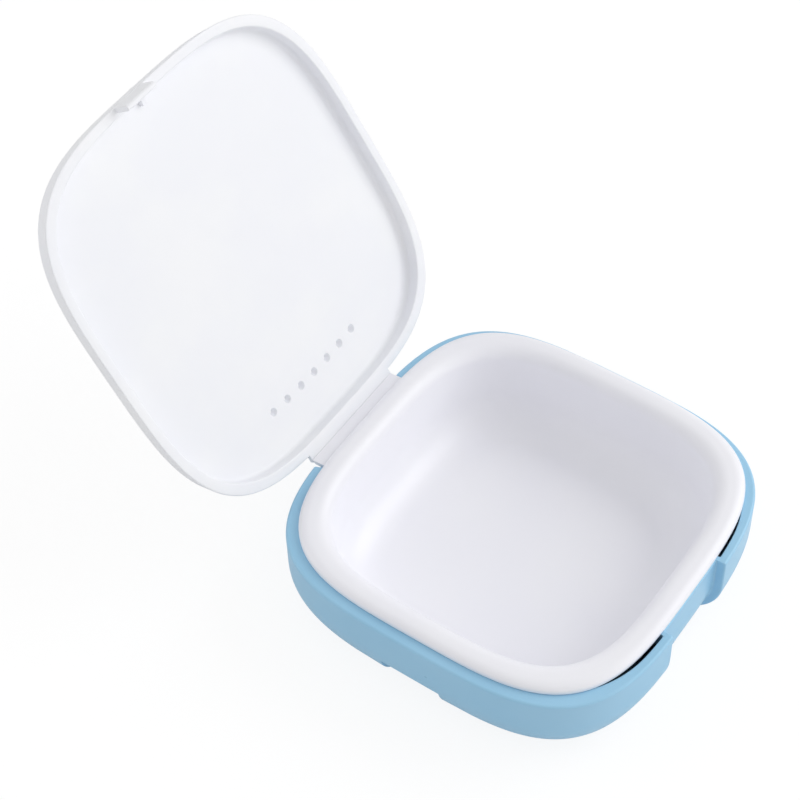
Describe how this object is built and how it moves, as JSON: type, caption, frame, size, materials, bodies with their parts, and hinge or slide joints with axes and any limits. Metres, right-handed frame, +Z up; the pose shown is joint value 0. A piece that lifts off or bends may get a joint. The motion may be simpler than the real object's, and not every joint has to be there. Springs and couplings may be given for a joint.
{
  "type": "retainer case",
  "caption": "Shallow rounded-square case: a moulded base with a lift-out tray, and a vented lid with a clasp tab, joined to the tray by a flexible hinge strap.",
  "frame": {"origin": "middle of the base's flat underside", "axes": "+Z up, -Y the front with the finger recess, +Y the hinge, +X the right side seen from the front"},
  "size_m": [0.0908, 0.1448, 0.0999],
  "materials": {
    "blue_plastic": "satin moulded",
    "tray_plastic": "gloss moulded",
    "lid_plastic": "satin moulded"
  },
  "bodies": {
    "base": {"base_shell": "blue_plastic"},
    "lid": {"lid": "lid_plastic"},
    "tray": {"inner_tray": "tray_plastic"}
  },
  "joints": [
    {"name": "tray_lift", "type": "slide", "parent": "base", "child": "tray", "axis": [0, 0, -1], "range_m": [-0.06, 0]},
    {"name": "lid_hinge", "type": "hinge", "parent": "tray", "child": "lid", "pos_m": [0, 0.046, 0.02155], "axis": [1, 0, 0], "range_deg": [0, 123.5]}
  ]
}
